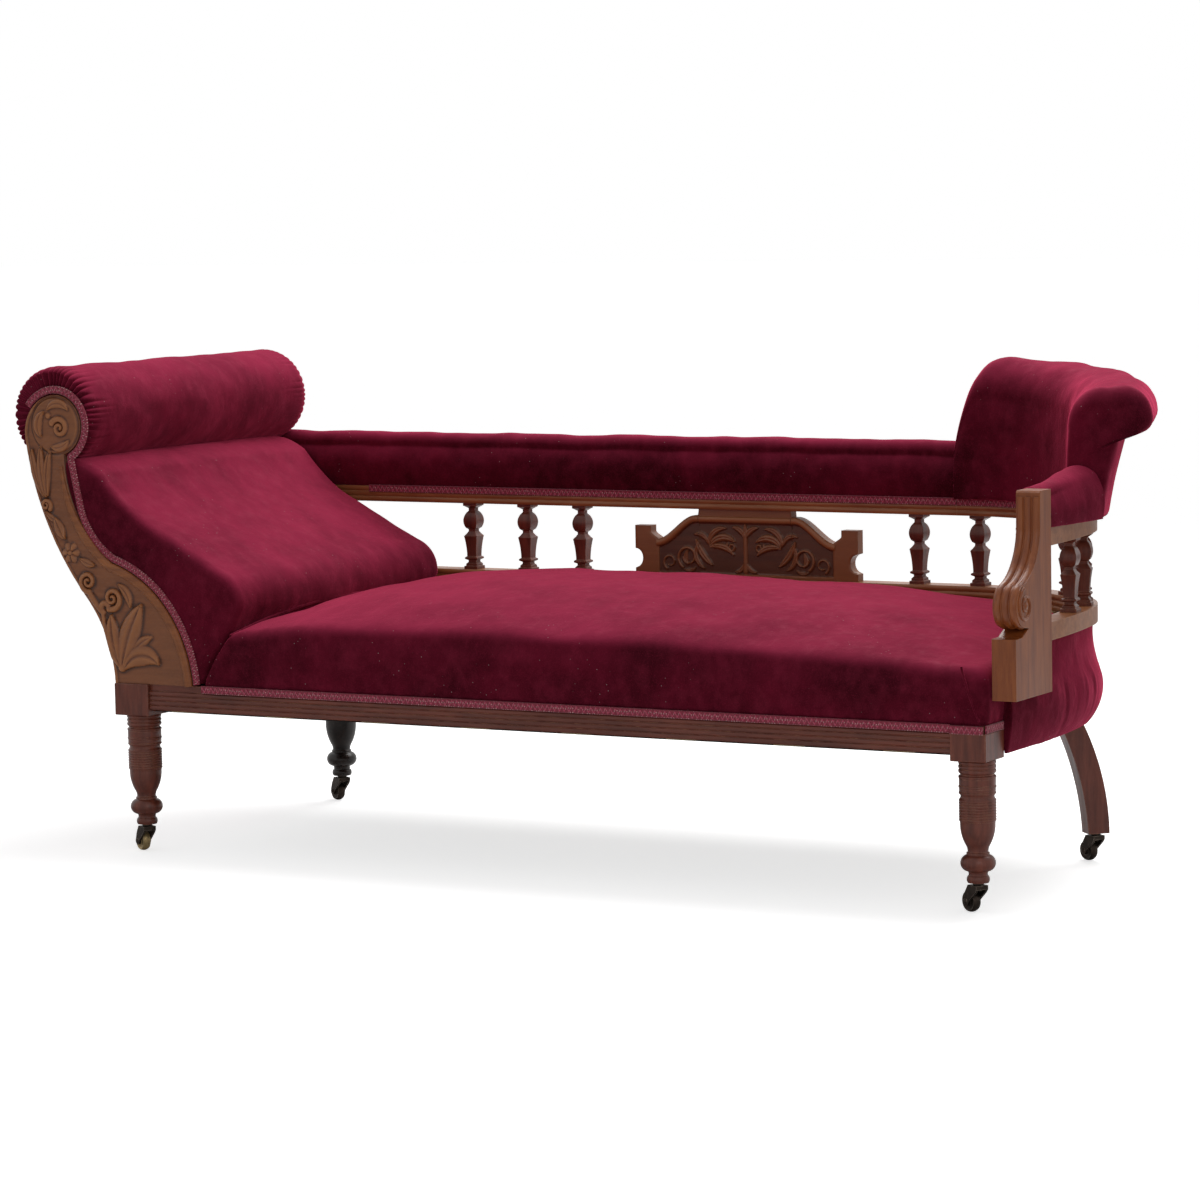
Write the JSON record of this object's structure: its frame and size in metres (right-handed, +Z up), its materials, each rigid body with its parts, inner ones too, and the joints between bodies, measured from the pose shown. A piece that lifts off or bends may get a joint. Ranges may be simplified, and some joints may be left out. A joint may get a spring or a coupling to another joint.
{
  "type": "fainting couch",
  "caption": "Scroll-headed fainting couch on castors, with a bolster, an open baluster back with a carved panel, a padded wing, a domed sprung seat and turned legs.",
  "frame": {"origin": "middle of the couch's box, on the floor", "axes": "+X from the scrolled head to the foot, +Y to the back, +Z up"},
  "size_m": [1.8568, 0.7114, 0.7919],
  "materials": {
    "show_wood": "french polished walnut, reddish brown, worn pale at the edges",
    "dark_wood": "ebonised wood, dull gloss",
    "frame_timber": "unfinished sawn hardwood",
    "velvet": "wine red cotton velvet with a worn nap",
    "gimp": "crimson woven braid",
    "dust_cloth": "thin black cambric",
    "webbing": "jute webbing",
    "canvas": "hessian",
    "spring_steel": "dull drawn steel wire",
    "iron": "dark browned metal, rubbed bright on the edges",
    "brass": "dull worn brass"
  },
  "bodies": {
    "couch": {"arm_pad": "velvet", "arm_post": "show_wood", "back_balusters_left": "show_wood", "back_balusters_right": "show_wood", "back_inner_rail": "frame_timber", "back_left_block": "show_wood", "back_left_leg": "dark_wood", "back_lower_rail": "show_wood", "back_pad": "velvet", "back_panel": "show_wood", "back_right_leg": "show_wood", "back_seat_rail": "frame_timber", "back_upper_rail": "show_wood", "backrest_pad": "velvet", "backrest_webbing": "webbing", "bolster_pad": "velvet", "castor_stems": "iron", "dust_cloth": "dust_cloth", "end_baluster_1": "show_wood", "end_baluster_2": "show_wood", "end_baluster_3": "show_wood", "end_baluster_4": "show_wood", "end_baluster_5": "show_wood", "end_lower_rail": "show_wood", "end_upper_rail": "show_wood", "front_left_block": "show_wood", "front_left_leg": "show_wood", "front_rail": "show_wood", "front_right_block": "show_wood", "front_right_leg": "show_wood", "gimp_braid": "gimp", "head_cross_rails": "frame_timber", "head_facing": "show_wood", "head_outside_cover": "velvet", "head_top_rail": "frame_timber", "left_end_rail": "show_wood", "rail_posts": "frame_timber", "rear_head_upright": "show_wood", "right_end_rail": "frame_timber", "seat_pad": "velvet", "seat_springs": "spring_steel", "seat_webbing": "webbing", "skirt_pad": "velvet", "spring_canvas": "canvas", "wing_core": "frame_timber", "wing_pad": "velvet"},
    "horn_front_left": {"castor_horn_front_left": "iron", "castor_axle_front_left": "iron"},
    "wheel_front_left": {"castor_wheel_front_left": "brass"},
    "horn_front_right": {"castor_horn_front_right": "iron", "castor_axle_front_right": "iron"},
    "wheel_front_right": {"castor_wheel_front_right": "iron"},
    "horn_back_left": {"castor_horn_back_left": "iron", "castor_axle_back_left": "iron"},
    "wheel_back_left": {"castor_wheel_back_left": "iron"},
    "horn_back_right": {"castor_horn_back_right": "iron", "castor_axle_back_right": "iron"},
    "wheel_back_right": {"castor_wheel_back_right": "iron"}
  },
  "joints": [
    {"name": "swivel_front_left", "type": "hinge", "parent": "couch", "child": "horn_front_left", "pos_m": [-0.6995, -0.325, 0.039], "axis": [0, 0, 1], "continuous": true},
    {"name": "roll_front_left", "type": "hinge", "parent": "horn_front_left", "child": "wheel_front_left", "pos_m": [-0.71493, -0.31573, 0.0165], "axis": [0.515, 0.8572, 0], "continuous": true},
    {"name": "swivel_front_right", "type": "hinge", "parent": "couch", "child": "horn_front_right", "pos_m": [0.777, -0.325, 0.039], "axis": [0, 0, 1], "continuous": true},
    {"name": "roll_front_right", "type": "hinge", "parent": "horn_front_right", "child": "wheel_front_right", "pos_m": [0.76157, -0.31573, 0.0165], "axis": [0.515, 0.8572, 0], "continuous": true},
    {"name": "swivel_back_left", "type": "hinge", "parent": "couch", "child": "horn_back_left", "pos_m": [-0.6995, 0.267, 0.039], "axis": [0, 0, 1], "continuous": true},
    {"name": "roll_back_left", "type": "hinge", "parent": "horn_back_left", "child": "wheel_back_left", "pos_m": [-0.71493, 0.27627, 0.0165], "axis": [0.515, 0.8572, 0], "continuous": true},
    {"name": "swivel_back_right", "type": "hinge", "parent": "couch", "child": "horn_back_right", "pos_m": [0.76, 0.167, 0.039], "axis": [0, 0, 1], "continuous": true},
    {"name": "roll_back_right", "type": "hinge", "parent": "horn_back_right", "child": "wheel_back_right", "pos_m": [0.74457, 0.17627, 0.0165], "axis": [0.515, 0.8572, 0], "continuous": true}
  ]
}
